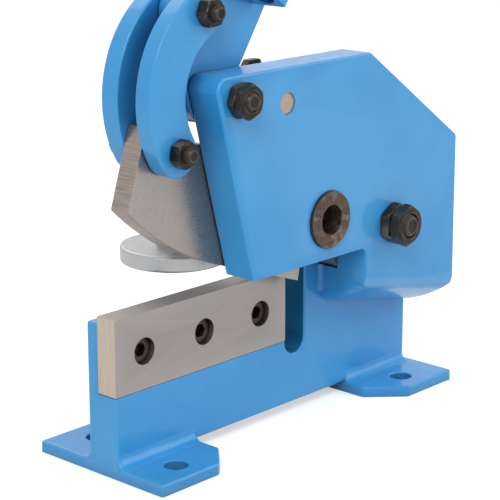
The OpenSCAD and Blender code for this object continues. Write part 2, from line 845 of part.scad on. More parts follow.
module bracket_bolts_set() {
    color(black_oxide) bed() for (at = bracket_bolts) {
        rod(at, bracket_bolt_d, web_t - bracket_hole_depth + cut, web_t + bracket_t);
        hex_back(at, bracket_across, bracket_head_h, web_t + bracket_t);
    }
}

spindle_across = spindle_d * 1.6;
locknut_h = spindle_d * 0.55;

module hold_down_locknut() {
    color(black_oxide) bed() translate([screw_x, screw_y, arm_top]) difference() {
        cylinder(d = spindle_across * hex_corner, h = locknut_h, $fn = 6);
        translate([0, 0, -cut]) cylinder(d = spindle_d + 2 * running, h = locknut_h + 2 * cut);
    }
}

hub_h = 12;
hub_wall = 4;
hub_d = spindle_d + 2 * hub_wall;
seat_depth = hub_h + pad_t / 2;
spindle_foot = pad_lift + pad_t + hub_h - seat_depth;
spindle_head_h = spindle_d * 0.7;
spindle_head_across = spindle_d * 1.3;

module hold_down_screw() {
    color(zinc) bed() translate([screw_x, screw_y, spindle_foot]) {
        cylinder(d = spindle_d, h = spindle_l);
        translate([0, 0, spindle_l])
            cylinder(d = spindle_head_across * hex_corner, h = spindle_head_h, $fn = 6);
    }
}

pad_edge = 1;

module hold_down_pad() {
    r = pad_d / 2;
    seat_r = spindle_d / 2 + running;
    color(zinc) bed() translate([screw_x, screw_y, pad_lift]) rotate_extrude() difference() {
        union() {
            polygon([[0, 0], [r - pad_edge, 0], [r, pad_edge], [r, pad_t - pad_edge],
                     [r - pad_edge, pad_t], [0, pad_t]]);
            square([hub_d / 2, pad_t + hub_h]);
        }
        translate([0, pad_t + hub_h - seat_depth]) square([seat_r, seat_depth + cut]);
    }
}

web_plate();
cheek();
front_foot();
rear_foot();
foot_welds();
lower_blade();
lower_blade_screws();
lower_blade_nuts();
upper_blade();
blade_pivot_bush();
blade_bar_bush();
cheek_bar_bush();
blade_pivot_bolt();
blade_pivot_washer();
blade_pivot_nut();
blade_pivot_locknut();
lever_pivot_bolt();
lever_pivot_washer();
lever_pivot_nut();
lever_pivot_locknut();
stop_pin();
front_link();
rear_link();
lower_link_bolt();
lower_link_nut();
upper_link_bolt();
upper_link_nut();
link_washers();
lever_plate();
lever_bush();
handle_socket();
handle_screw();
handle_tube();
handle_grip();
hold_down_bracket();
bracket_bolts_set();
hold_down_locknut();
hold_down_screw();
hold_down_pad();
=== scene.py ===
import json
import math

import bpy
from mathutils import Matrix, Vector


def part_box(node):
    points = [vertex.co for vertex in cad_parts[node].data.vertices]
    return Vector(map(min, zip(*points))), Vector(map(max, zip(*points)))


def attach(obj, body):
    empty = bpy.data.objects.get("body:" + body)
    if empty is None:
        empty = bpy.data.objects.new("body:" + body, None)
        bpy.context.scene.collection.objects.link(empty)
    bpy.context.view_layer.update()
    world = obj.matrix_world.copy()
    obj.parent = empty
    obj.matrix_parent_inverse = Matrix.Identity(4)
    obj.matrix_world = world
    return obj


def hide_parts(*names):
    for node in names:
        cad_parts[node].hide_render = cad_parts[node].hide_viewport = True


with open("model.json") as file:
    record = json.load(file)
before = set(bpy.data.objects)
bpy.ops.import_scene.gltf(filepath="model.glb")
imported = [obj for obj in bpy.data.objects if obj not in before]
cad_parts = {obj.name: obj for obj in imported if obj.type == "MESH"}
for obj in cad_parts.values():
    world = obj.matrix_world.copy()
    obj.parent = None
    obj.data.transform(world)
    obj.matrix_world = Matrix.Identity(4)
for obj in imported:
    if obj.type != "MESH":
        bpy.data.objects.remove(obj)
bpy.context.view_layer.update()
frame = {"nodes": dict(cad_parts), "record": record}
scene = bpy.context.scene
scene.view_settings.view_transform = "Standard"
mm = 0.001
nodeBody = {name: body for body, names in frame["record"]["behaviour"]["bodies"].items()
            for name in names}
nodeSlot = {row["node"]: row["material_slot"] for row in frame["record"]["subparts"]}
print("frame loaded:", len(frame["nodes"]), "nodes")


# Node helpers for the materials

def tone(red, green, blue):
    # screen colour to the linear values that sockets take
    parts = []
    for value in (red, green, blue):
        value = value / 255
        parts.append(value / 12.92 if value <= 0.04045 else ((value + 0.055) / 1.055) ** 2.4)
    return (*parts, 1)


def feed(tree, node, **sockets):
    # each socket takes a link from another node or a constant
    for key, value in sockets.items():
        socket = node.inputs[key.replace("_", " ")]
        if isinstance(value, bpy.types.NodeSocket):
            tree.links.new(value, socket)
        else:
            socket.default_value = value


def addNode(tree, kind, settings=None, **sockets):
    made = tree.nodes.new(kind)
    for key, value in (settings or {}).items():
        setattr(made, key, value)
    feed(tree, made, **sockets)
    return made


def newFinish(name):
    finish = bpy.data.materials.new(name)
    finish.use_nodes = True
    tree = finish.node_tree
    shader = tree.nodes["Principled BSDF"]
    place = addNode(tree, "ShaderNodeTexCoord").outputs["Object"]
    return finish, tree, shader, place


def noiseOn(tree, place, scale, detail, stretch=(1, 1, 1), turn=(0, 0, 0)):
    mapping = addNode(tree, "ShaderNodeMapping", Vector=place, Scale=stretch, Rotation=turn)
    noise = addNode(tree, "ShaderNodeTexNoise", Vector=mapping.outputs["Vector"],
                    Scale=scale, Detail=detail)
    return noise.outputs[0]


def remap(tree, value, fromLow, fromHigh, toLow, toHigh):
    made = addNode(tree, "ShaderNodeMapRange", Value=value, From_Min=fromLow, From_Max=fromHigh,
                   To_Min=toLow, To_Max=toHigh)
    return made.outputs[0]


def mathOn(tree, operation, *values):
    made = addNode(tree, "ShaderNodeMath", {"operation": operation})
    for socket, value in zip(made.inputs, values):
        tree.links.new(value, socket)
    return made.outputs[0]


def blendTone(tree, factor, first, second):
    made = addNode(tree, "ShaderNodeMixRGB", Fac=factor, Color1=first, Color2=second)
    return made.outputs[0]


def layTone(tree, under, over, mask, low, high, share=1):
    # lays one tone over another where the mask rises from low to high, up to the share
    return blendTone(tree, remap(tree, mask, low, high, 0, share), under, over)


def bumpFrom(tree, height, strength, distance, under=None):
    made = addNode(tree, "ShaderNodeBump", Height=height, Strength=strength, Distance=distance)
    if under is not None:
        feed(tree, made, Normal=under)
    return made.outputs[0]


def edgeFactor(tree, low, high):
    # rises along the outer edges of a piece
    point = addNode(tree, "ShaderNodeNewGeometry").outputs["Pointiness"]
    return remap(tree, point, low, high, 0, 1)


def cornerShade(tree, reach, low, high):
    # painted shade: rises in the inner corners, where shade falls
    occlusion = addNode(tree, "ShaderNodeAmbientOcclusion", {"samples": 8}, Distance=reach)
    return remap(tree, occlusion.outputs["AO"], low, high, 1, 0)


# Finishes

# noise is (scale, detail), a bump is (strength, distance) and a mask is (low, high, share)
noiseSpan = (0.3, 0.7)
paint = {
    "body": tone(61, 159, 221),
    "deep": tone(48, 148, 213),
    # corner is a painted shade for the inner corners
    "corner": tone(8, 66, 116),
    # edge is a painted highlight along the outer edges
    "edge": tone(98, 176, 232),
    # slot tones are a painted shade for the walls of the relief slot
    "slot": tone(30, 116, 158),
    "slotDeep": tone(22, 98, 136),
    "slotShine": 0.1,
    "cloudNoise": (22, 4),
    "fineNoise": (160, 3),
    "rim": (0.515, 0.60),
    "rimShare": 0.55,
    "recess": (0.03, 0.15, 0.66),
    "recessShare": 0.9,
    "roughness": (0.32, 0.46),
    "specular": 0.20,
    "coat": 0.46,
    "coatRoughness": 0.10,
    "waveNoise": (38, 2),
    "waveBump": (0.20, 0.0011),
    "peelNoise": (620, 2),
    "peelBump": (0.16, 0.00022),
}


def bluePaint(name, deep, body, shine):
    finish, tree, shader, place = newFinish(name)
    cloud = noiseOn(tree, place, *paint["cloudNoise"])
    colour = layTone(tree, deep, body, cloud, *noiseSpan)
    # painted highlight: the paint turns paler along the outer edges, where they catch the light
    rim = edgeFactor(tree, *paint["rim"])
    colour = layTone(tree, colour, paint["edge"], rim, 0, 1, paint["rimShare"])
    # painted shade: the paint turns deeper blue in the inner corners, where shade falls
    recess = cornerShade(tree, *paint["recess"])
    colour = layTone(tree, colour, paint["corner"], recess, 0, 1, paint["recessShare"])
    fine = noiseOn(tree, place, *paint["fineNoise"])
    waves = bumpFrom(tree, noiseOn(tree, place, *paint["waveNoise"]), *paint["waveBump"])
    peel = bumpFrom(tree, noiseOn(tree, place, *paint["peelNoise"]), *paint["peelBump"], waves)
    feed(tree, shader, Base_Color=colour, Specular_IOR_Level=paint["specular"] * shine,
         Roughness=remap(tree, fine, *noiseSpan, *paint["roughness"]),
         Coat_Weight=paint["coat"] * shine, Coat_Roughness=paint["coatRoughness"],
         Normal=peel, Coat_Normal=waves)
    return finish


steel = {
    "light": tone(152, 147, 144),
    "dark": tone(140, 135, 132),
    "speck": tone(128, 121, 116),
    "warm": tone(158, 141, 130),
    # under is a painted shade for faces that look down
    "under": tone(96, 80, 66),
    # edge is a painted highlight along the outer edges
    "edge": tone(206, 200, 194),
    "lineNoise": (60, 4),
    "lines": (5, 26, 32),
    "grainNoise": (1100, 2),
    "grainMask": (0.42, 0.72, 0.45),
    "stainNoise": (20, 4),
    "stainMask": (0.44, 0.74, 0.45),
    "endFace": (0.78, 0.92, 0, 0.9),
    "sawSpan": (0.34, 0.66),
    "underside": (-0.12, -0.42, 0, 0.85),
    "noseEnd": (-0.045, -0.005),
    "rim": (0.53, 0.64),
    "rimShare": 0.5,
    "recessReach": 0.012,
    "grooveStep": 0.0001,
    "sawStep": 0.0002,
    "metal": 0.85,
}
upperSteelSet = {
    "name": "upperBladeSteel",
    "cutEnd": tone(162, 150, 143),
    "sawMark": tone(128, 117, 110),
    "sawLines": (20, 0.8, 24),
    "roughness": (0.25, 0.36),
    "grooves": 0.015,
    "sawDepth": 0.012,
    # recess and recessTone give a painted shade in inner corners and counterbores
    "recess": (0.20, 0.62, 0.35),
    "recessTone": tone(56, 42, 36),
}
lowerSteelSet = {
    "name": "lowerBladeSteel",
    "cutEnd": tone(190, 175, 158),
    "sawMark": tone(174, 159, 143),
    "sawLines": (6, 18, 1.2),
    "roughness": (0.36, 0.50),
    "grooves": 0.05,
    "sawDepth": 0.08,
    # recess and recessTone give a painted shade in inner corners and counterbores
    "recess": (0.36, 0.88, 0.92),
    "recessTone": tone(92, 66, 54),
}


def groundSteel(settings):
    finish, tree, shader, place = newFinish(settings["name"])
    lines = noiseOn(tree, place, *steel["lineNoise"], steel["lines"])
    grain = noiseOn(tree, place, *steel["grainNoise"])
    stains = noiseOn(tree, place, *steel["stainNoise"])
    colour = layTone(tree, steel["dark"], steel["light"], lines, *noiseSpan)
    colour = layTone(tree, colour, steel["speck"], grain, *steel["grainMask"])
    colour = layTone(tree, colour, steel["warm"], stains, *steel["stainMask"])
    # sawn end faces look along X and keep a brown film; faces that look down near the nose get a
    # painted shade
    normal = addNode(tree, "ShaderNodeTexCoord").outputs["Normal"]
    facing = addNode(tree, "ShaderNodeSeparateXYZ", Vector=normal).outputs
    sawn = remap(tree, mathOn(tree, "ABSOLUTE", facing["X"]), *steel["endFace"])
    saw = noiseOn(tree, place, *steel["lineNoise"], settings["sawLines"])
    endTone = layTone(tree, settings["sawMark"], settings["cutEnd"], saw, *steel["sawSpan"])
    colour = blendTone(tree, sawn, colour, endTone)
    spot = addNode(tree, "ShaderNodeSeparateXYZ", Vector=place).outputs
    below = mathOn(tree, "MULTIPLY", remap(tree, facing["Z"], *steel["underside"]),
                   remap(tree, spot["X"], *steel["noseEnd"], 1, 0))
    colour = blendTone(tree, below, colour, steel["under"])
    # painted highlight: paler along the outer edges
    rim = edgeFactor(tree, *steel["rim"])
    colour = layTone(tree, colour, steel["edge"], rim, 0, 1, steel["rimShare"])
    # painted shade: darker in the inner corners and counterbores, where shade falls
    shadeLow, shadeHigh, shadeShare = settings["recess"]
    recess = cornerShade(tree, steel["recessReach"], shadeLow, shadeHigh)
    colour = layTone(tree, colour, settings["recessTone"], recess, 0, 1, shadeShare)
    grooves = bumpFrom(tree, lines, settings["grooves"], steel["grooveStep"])
    feed(tree, shader, Base_Color=colour, Metallic=steel["metal"],
         Roughness=remap(tree, lines, *noiseSpan, *settings["roughness"]),
         Normal=bumpFrom(tree, saw, settings["sawDepth"], steel["sawStep"], grooves))
    return finish


oxide = {
    "body": tone(22, 21, 20),
    "brown": tone(46, 38, 32),
    "edge": tone(134, 120, 106),
    "edgeShare": 0.6,
    "rust": tone(92, 66, 46),
    # recess is a painted shade for the inner corners
    "recess": tone(9, 8, 8),
    "sunkBody": tone(74, 66, 60),
    "sunkBrown": tone(98, 74, 60),
    "cloudNoise": (140, 4),
    "cloudSpan": (0.42, 0.70),
    "spotNoise": (420, 3),
    "spotMask": (0.60, 0.74, 0.6),
    "rim": (0.52, 0.59),
    "corner": (0.01, 0.25, 0.75),
    "cornerShare": 0.85,
    "roughness": (0.30, 0.50),
    "specular": 0.3,
    "pitBump": (0.15, 0.0003),
    "metal": 0.35,
}


def blackOxide(name, body, brown, edgeShare):
    finish, tree, shader, place = newFinish(name)
    cloud = noiseOn(tree, place, *oxide["cloudNoise"])
    colour = layTone(tree, body, brown, cloud, *oxide["cloudSpan"])
    spots = noiseOn(tree, place, *oxide["spotNoise"])
    colour = layTone(tree, colour, oxide["rust"], spots, *oxide["spotMask"])
    # paler along the outer edges: rubbed wear, with a painted highlight on top
    rim = edgeFactor(tree, *oxide["rim"])
    colour = layTone(tree, colour, oxide["edge"], rim, 0, 1, edgeShare)
    # painted shade: near black in the inner corners, where shade falls
    recess = cornerShade(tree, *oxide["corner"])
    colour = layTone(tree, colour, oxide["recess"], recess, 0, 1, oxide["cornerShare"])
    feed(tree, shader, Base_Color=colour, Metallic=oxide["metal"],
         Specular_IOR_Level=oxide["specular"],
         Roughness=remap(tree, cloud, *noiseSpan, *oxide["roughness"]),
         Normal=bumpFrom(tree, spots, *oxide["pitBump"]))
    return finish


mottle = {
    "body": tone(98, 86, 76),
    "dark": tone(66, 55, 46),
    "pale": tone(136, 124, 112),
    "cloudNoise": (420, 5),
    "cloudSpan": (0.35, 0.68),
    "spotNoise": (150, 4),
    "spotMask": (0.52, 0.70, 0.7),
    "roughness": (0.36, 0.58),
    "pitBump": (0.18, 0.0003),
    "metal": 0.8,
}


def bushSteel():
    finish, tree, shader, place = newFinish("bushSteel")
    cloud = noiseOn(tree, place, *mottle["cloudNoise"])
    spots = noiseOn(tree, place, *mottle["spotNoise"])
    colour = layTone(tree, mottle["dark"], mottle["body"], cloud, *mottle["cloudSpan"])
    colour = layTone(tree, colour, mottle["pale"], spots, *mottle["spotMask"])
    feed(tree, shader, Base_Color=colour, Metallic=mottle["metal"],
         Roughness=remap(tree, cloud, *noiseSpan, *mottle["roughness"]),
         Normal=bumpFrom(tree, cloud, *mottle["pitBump"]))
    return finish


brushed = {
    "lineNoise": (80, 4),
    "lineSpan": (0.34, 0.66),
    "hazeNoise": (40, 3),
    "hazeMask": (0.5, 0.75, 0.3),
    "roughStep": 0.14,
    "lineBump": (0.10, 0.0002),
}
metalSet = {
    "bronze": {"name": "bushBronze", "dark": tone(138, 102, 56), "light": tone(190, 150, 92),
               "stretch": (1, 1, 6), "turn": (0, 0, 0), "metal": 0.95, "rough": 0.32},
    "pin_steel": {"name": "pinSteel", "dark": tone(152, 134, 118), "light": tone(186, 168, 152),
                  "stretch": (40, 2, 6), "turn": (0, 0.75, 0), "metal": 0.8, "rough": 0.36},
    "plated_steel": {"name": "platedSteel", "dark": tone(172, 172, 173),
                     "light": tone(186, 186, 187), "stretch": (4, 4, 30), "turn": (0, 0, 0),
                     "metal": 0.82, "rough": 0.37},
}


def brushedMetal(name, dark, light, stretch, turn, metal, rough):
    finish, tree, shader, place = newFinish(name)
    lines = noiseOn(tree, place, *brushed["lineNoise"], stretch, turn)
    colour = layTone(tree, dark, light, lines, *brushed["lineSpan"])
    haze = noiseOn(tree, place, *brushed["hazeNoise"])
    colour = layTone(tree, colour, dark, haze, *brushed["hazeMask"])
    feed(tree, shader, Base_Color=colour, Metallic=metal,
         Roughness=remap(tree, lines, *noiseSpan, rough, rough + brushed["roughStep"]),
         Normal=bumpFrom(tree, lines, *brushed["lineBump"]))
    return finish


rubber = {
    "body": tone(30, 30, 32),
    "dust": tone(62, 61, 60),
    "grainNoise": (900, 3),
    "dustNoise": (45, 4),
    "dustMask": (0.48, 0.75, 0.5),
    "roughness": (0.55, 0.75),
    "grainBump": (0.25, 0.0003),
}


def gripRubber():
    finish, tree, shader, place = newFinish("gripRubber")
    grain = noiseOn(tree, place, *rubber["grainNoise"])
    dust = noiseOn(tree, place, *rubber["dustNoise"])
    colour = layTone(tree, rubber["body"], rubber["dust"], dust, *rubber["dustMask"])
    feed(tree, shader, Base_Color=colour,
         Roughness=remap(tree, grain, *noiseSpan, *rubber["roughness"]),
         Normal=bumpFrom(tree, grain, *rubber["grainBump"]))
    return finish


finishes = {
    "blue_paint": bluePaint("bluePaint", paint["deep"], paint["body"], 1),
    "tool_steel": groundSteel(upperSteelSet),
    "black_oxide": blackOxide("blackOxide", oxide["body"], oxide["brown"], oxide["edgeShare"]),
    "bush_steel": bushSteel(),
    **{slot: brushedMetal(**settings) for slot, settings in metalSet.items()},
    "grip_rubber": gripRubber(),
}
# painted shade: the walls of the relief slot take a darker, duller blue that stands in for the
# shade inside the slot
slotShadePaint = bluePaint("slotShadePaint", paint["slotDeep"], paint["slot"], paint["slotShine"])
# the lower blade's sawn end is paler than the upper one's
lowerSteel = groundSteel(lowerSteelSet)
# the sunk screw heads have gone brown, and their edges get neither the rubbed wear nor the
# painted highlight
screwOxide = blackOxide("screwOxide", oxide["sunkBody"], oxide["sunkBrown"], 0)
print("finishes made:", len(finishes))


# Modelling helpers

# slack in mm tells places apart, upright is the least share of a normal along its axis
slack, fineSlack = 0.1, 0.05
upright = 0.9
joinWithin = 0.00001
flatWithin = math.radians(0.4)
roundSteps = 72


def toMode(mode):
    bpy.ops.object.mode_set(mode=mode)


def boxOf(nodeName):
    # lowest and highest corner of a node in mm
    return [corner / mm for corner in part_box(nodeName)]


def settle(modifier):
    bpy.ops.object.modifier_apply(modifier=modifier.name)


def pickOnly(piece):
    if bpy.context.mode != "OBJECT":
        toMode("OBJECT")
    bpy.ops.object.select_all(action="DESELECT")
    piece.select_set(True)
    bpy.context.view_layer.objects.active = piece


def editAll(piece):
    pickOnly(piece)
    toMode("EDIT")
    bpy.ops.mesh.select_all(action="SELECT")


def copyOfNode(nodeName, pieceName):
    piece = bpy.data.objects.new(pieceName, frame["nodes"][nodeName].data.copy())
    scene.collection.objects.link(piece)
    pickOnly(piece)
    bpy.ops.mesh.customdata_custom_splitnormals_clear()
    editAll(piece)
    bpy.ops.mesh.remove_doubles(threshold=joinWithin)
    bpy.ops.mesh.dissolve_limited(angle_limit=flatWithin)
    toMode("OBJECT")
    return piece


def outlineFace(name, points):
    # one flat face through points given in metres, left open for drawing out
    shape = bpy.data.meshes.new(name)
    shape.from_pydata(points, [], [list(range(len(points)))])
    piece = bpy.data.objects.new(name, shape)
    scene.collection.objects.link(piece)
    editAll(piece)
    return piece


def drawOut(offset):
    bpy.ops.mesh.extrude_region_move(TRANSFORM_OT_translate={"value": offset})


def orientFaces(merge=0):
    # ends the editing of a drawn shape with all its faces turned outward
    bpy.ops.mesh.select_all(action="SELECT")
    if merge:
        bpy.ops.mesh.remove_doubles(threshold=merge)
    bpy.ops.mesh.normals_make_consistent(inside=False)
    toMode("OBJECT")


def edgeSides(mesh):
    # the two faces at each edge, with the first face's own inward direction
    owner = {}
    for face in mesh.polygons:
        corners = list(face.vertices)
        for first, second in zip(corners, corners[1:] + corners[:1]):
            owner[(first, second)] = face
    for edge in mesh.edges:
        first, second = edge.vertices
        left, right = owner.get((first, second)), owner.get((second, first))
        if left is None or right is None:
            yield edge, None, None, None
            continue
        along = mesh.vertices[second].co - mesh.vertices[first].co
        yield edge, left.normal, right.normal, left.normal.cross(along)


def roundEdges(piece, widthAt, segments, sharp=30):
    # rounds each outer edge by its own width; hollow edges stay as they are
    mesh = piece.data
    least = math.radians(sharp)
    widths = []
    for edge, left, right, inward in edgeSides(mesh):
        width = 0
        if left is not None and inward.dot(right) < 0 and left.angle(right, 0) > least:
            first, second = (mesh.vertices[k].co for k in edge.vertices)
            width = widthAt((first + second) / 2 / mm, left, right)
        widths.append(width)
    widest = max(widths)
    layer = mesh.attributes.new("bevel_weight_edge", "FLOAT", "EDGE")
    layer.data.foreach_set("value", [width / widest for width in widths])
    pickOnly(piece)
    bevel = piece.modifiers.new("softEdges", "BEVEL")
    bevel.limit_method = "WEIGHT"
    bevel.width = widest * mm
    bevel.segments = segments
    bevel.use_clamp_overlap = False
    settle(bevel)
    return piece


def evenly(width):
    return lambda at, left, right: width


def smoothFaces(piece, angle=38):
    pickOnly(piece)
    bpy.ops.object.shade_smooth_by_angle(angle=math.radians(angle))
    weighted = piece.modifiers.new("flatFaces", "WEIGHTED_NORMAL")
    weighted.keep_sharp = True
    settle(weighted)
    return piece


def standFor(piece, *nodeNames):
    slot = nodeSlot[nodeNames[0]]
    piece.data.materials.clear()
    piece.data.materials.append(finishes[slot])
    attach(piece, nodeBody[nodeNames[0]])
    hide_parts(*nodeNames)
    return piece


def facesAlong(normal, axis):
    return abs(normal[axis]) > upright


def chooseNothing(piece, kind):
    # made ready for choosing faces, edges or points one by one
    pickOnly(piece)
    toMode("EDIT")
    bpy.ops.mesh.select_mode(type=kind)
    bpy.ops.mesh.select_all(action="DESELECT")
    toMode("OBJECT")


def selectFaces(piece, test):
    chooseNothing(piece, "FACE")
    for face in piece.data.polygons:
        face.select = test(face.center / mm, face.normal)
    toMode("EDIT")


def cutAcross(piece, point, normal, clearOuter=False, clearInner=False):
    editAll(piece)
    bpy.ops.mesh.bisect(plane_co=point, plane_no=normal, use_fill=clearOuter or clearInner,
                        clear_outer=clearOuter, clear_inner=clearInner)
    toMode("OBJECT")


def plugHoles(piece, holes):
    # takes out the walls of holes along Y and closes their rims, so that edges round cleanly
    def onWall(at, normal):
        inHole = any(math.hypot(at.x - x, at.z - z) < radius + 2 * slack
                     for x, z, radius in holes)
        return inHole and abs(normal.y) < 1 - upright

    selectFaces(piece, onWall)
    bpy.ops.mesh.delete(type="FACE")
    bpy.ops.mesh.select_all(action="SELECT")
    bpy.ops.mesh.fill_holes(sides=0)
    bpy.ops.mesh.select_all(action="SELECT")
    bpy.ops.mesh.normals_make_consistent(inside=False)
    bpy.ops.mesh.dissolve_limited(angle_limit=flatWithin)
    toMode("OBJECT")


def cutBy(piece, cutter, operation="DIFFERENCE"):
    pickOnly(piece)
    cut = piece.modifiers.new("cut", "BOOLEAN")
    cut.operation = operation
    cut.solver = "MANIFOLD"
    cut.object = cutter
    settle(cut)
    bpy.data.objects.remove(cutter)


def drillHoles(piece, holes, low, high):
    # holes along Y, each as (x, z, radius)
    for x, z, radius in holes:
        middle = Vector((x, (low + high) / 2, z))
        bpy.ops.object.select_all(action="DESELECT")
        bpy.ops.mesh.primitive_cylinder_add(
            vertices=roundSteps, radius=radius * mm, depth=(high - low) * mm,
            location=middle * mm, rotation=(math.pi / 2, 0, 0))
        cutBy(piece, bpy.context.active_object)


def holeAt(nodeName, radius):
    # place of a round node that lies across the frame
    spot = sum(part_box(nodeName), Vector()) / 2 / mm
    return (spot.x, spot.z, radius)


def joinTo(piece, other):
    pickOnly(piece)
    other.select_set(True)
    bpy.ops.object.join()
    return piece


# Painted frame

lowFoot, highFoot = boxOf("front_foot")
lowWeb, highWeb = boxOf("web_plate")
footTop = highFoot.z

bracketSet = {"headHalf": 8.5, "hole": 5.05, "edge": 1.4}


def bracketHoles():
    low, high = boxOf("bracket_bolts_set")
    inset = bracketSet["headHalf"] * 2 / math.sqrt(3)
    return [(low.x + inset, high.z - bracketSet["headHalf"], bracketSet["hole"]),
            (high.x - inset, low.z + bracketSet["headHalf"], bracketSet["hole"])]


def makeBracket():
    # the bolt holes lie close to the upper edge, so they are drilled once the edges are round
    piece = copyOfNode("hold_down_bracket", "holdDownBracketPainted")
    low, high = boxOf("hold_down_bracket")
    plugHoles(piece, bracketHoles())
    roundEdges(piece, evenly(bracketSet["edge"]), segments=3)
    drillHoles(piece, bracketHoles(), low.y - 1, high.y + 1)
    return standFor(smoothFaces(piece), "hold_down_bracket")


# the ledge's round ends short of the round foot of the relief slot
webEdges = {"endCorner": 2.6, "face": 1.6, "ledge": 0.65, "tuck": 1.3, "tuckEnd": 60,
            "screwHole": 5.25, "screwPitch": 51, "pivotHole": 8.05, "barHole": 11.3,
            "boltClear": 6, "slotWide": 18.5, "slotReach": 12}


def makeWeb():
    piece = copyOfNode("web_plate", "webPainted")
    lowBlade, highBlade = boxOf("lower_blade")
    bladeX, bladeZ = (lowBlade.x + highBlade.x) / 2, (lowBlade.z + highBlade.z) / 2
    through = [(bladeX + k * webEdges["screwPitch"], bladeZ, webEdges["screwHole"])
               for k in (-1, 0, 1)]
    through += [holeAt("blade_pivot_nut", webEdges["pivotHole"]),
                holeAt("cheek_bar_bush", webEdges["barHole"])]
    blind = bracketHoles()
    plugHoles(piece, through)
    # the end face runs on into the foot's rounded edge
    tuckEnd = lowWeb.x + webEdges["tuckEnd"]
    cutAcross(piece, Vector((tuckEnd, 0, 0)) * mm, (1, 0, 0))
    selectFaces(piece, lambda at, normal: normal.z < -upright and at.z < footTop + slack
                and at.x < tuckEnd)
    drawOut((0, 0, -webEdges["tuck"] * mm))
    toMode("OBJECT")

    def width(at, left, right):
        endFace = facesAlong(left, 0) or facesAlong(right, 0)
        levelFace = facesAlong(left, 2) or facesAlong(right, 2)
        if at.z < footTop + slack and endFace and levelFace:
            return 0
        if at.z < footTop - slack and not endFace:
            return 0
        if any(math.hypot(at.x - x, at.z - z) < webEdges["boltClear"] for x, z, hole in blind):
            return 0
        if abs(at.z - lowBlade.z) < slack:
            return webEdges["ledge"]
        return webEdges["endCorner"] if at.x < lowWeb.x + slack else webEdges["face"]

    roundEdges(piece, width, segments=4)
    drillHoles(piece, through, lowWeb.y - 1, highWeb.y + 1)
    standFor(smoothFaces(piece), "web_plate")
    # the faces inside the relief slot take the darker painted-shade blue
    piece.data.materials.append(slotShadePaint)
    slotFrom = highBlade.x - 2 * slack
    slotTo = highBlade.x + webEdges["slotWide"] + 2 * slack
    slotFoot, slotTop = lowBlade.z - webEdges["slotReach"], highBlade.z + webEdges["slotReach"]
    for face in piece.data.polygons:
        at = face.center / mm
        inSlot = slotFrom < at.x < slotTo and slotFoot < at.z < slotTop
        if inSlot and abs(face.normal.y) < 0.5:
            face.material_index = 1
    return piece


cheekEdges = {"lean": 2.6, "leanReach": 160, "face": 1.5, "back": 1.3, "inner": 5.0,
              "bossEnd": 7.0, "bossRear": 6.0, "bossFall": 11.4, "bossUnder": 36.5,
              "bossRound": 17, "bossReach": 140, "bossTop": 45, "bossLow": 5, "bossWide": 15,
              "innerAbove": 15, "shortest": 0.2, "shortTop": 22, "eyeClear": 41, "drillPast": 4,
              "pivotHole": 8.05, "leverHole": 6.05, "pinHole": 6.55, "bushHole": 18.25}
routerSet = {"steps": 10, "over": 0.01, "away": 12}

# end face of the boss that reaches from the cheek to the web
lowCheek, highCheek = boxOf("cheek")
bossStart = min(face.center.x / mm for face in frame["nodes"]["cheek"].data.polygons
                if face.normal.x < -0.999
                and face.center.z / mm < lowCheek.z + cheekEdges["bossTop"])


def routEdge(piece, corner, first, second, radius, along, reach):
    # rounds a long edge with a cutter: first and second run from the corner along the two faces
    turn = math.pi - first.angle(second)
    grip = radius * math.tan(turn / 2)
    centre = corner + (first + second).normalized() * radius / math.cos(turn / 2)
    start = corner + first * grip - centre
    finish = corner + second * grip - centre
    outline = []
    for k in range(routerSet["steps"] + 1):
        spoke = start.slerp(finish, k / routerSet["steps"]).normalized()
        outline.append(centre + spoke * (radius + routerSet["over"]))
    away = -(first + second).normalized() * routerSet["away"]
    outline += [outline[-1] + away, corner + 2 * away, outline[0] + away]
    cutter = outlineFace("router", [(point - along * reach) * mm for point in outline])
    drawOut(along * 2 * reach * mm)
    orientFaces()
    cutBy(piece, cutter)


def innerCorner(piece, frontLow):
    # the hollow corner where the cheek's lower edge meets the boss
    chooseNothing(piece, "EDGE")
    mesh = piece.data
    least = frontLow + cheekEdges["innerAbove"]
    for edge in mesh.edges:
        ends = [mesh.vertices[k].co / mm for k in edge.vertices]
        across = abs(ends[0].y - ends[1].y) > cheekEdges["bossWide"]
        edge.select = across and all(abs(end.x - bossStart) < slack and end.z > least
                                     for end in ends)
    toMode("EDIT")
    bpy.ops.mesh.bevel(offset=cheekEdges["inner"] * mm, segments=4, affect="EDGES")
    toMode("OBJECT")


def mergeShort(piece):
    # closes the very short edges where the boss's corner runs into the web
    chooseNothing(piece, "VERT")
    wall, top = lowWeb.y - cheekEdges["shortest"], lowCheek.z + cheekEdges["shortTop"]
    for vertex in piece.data.vertices:
        vertex.select = vertex.co.y / mm > wall and vertex.co.z / mm < top
    toMode("EDIT")
    bpy.ops.mesh.remove_doubles(threshold=cheekEdges["shortest"] * mm)
    toMode("OBJECT")


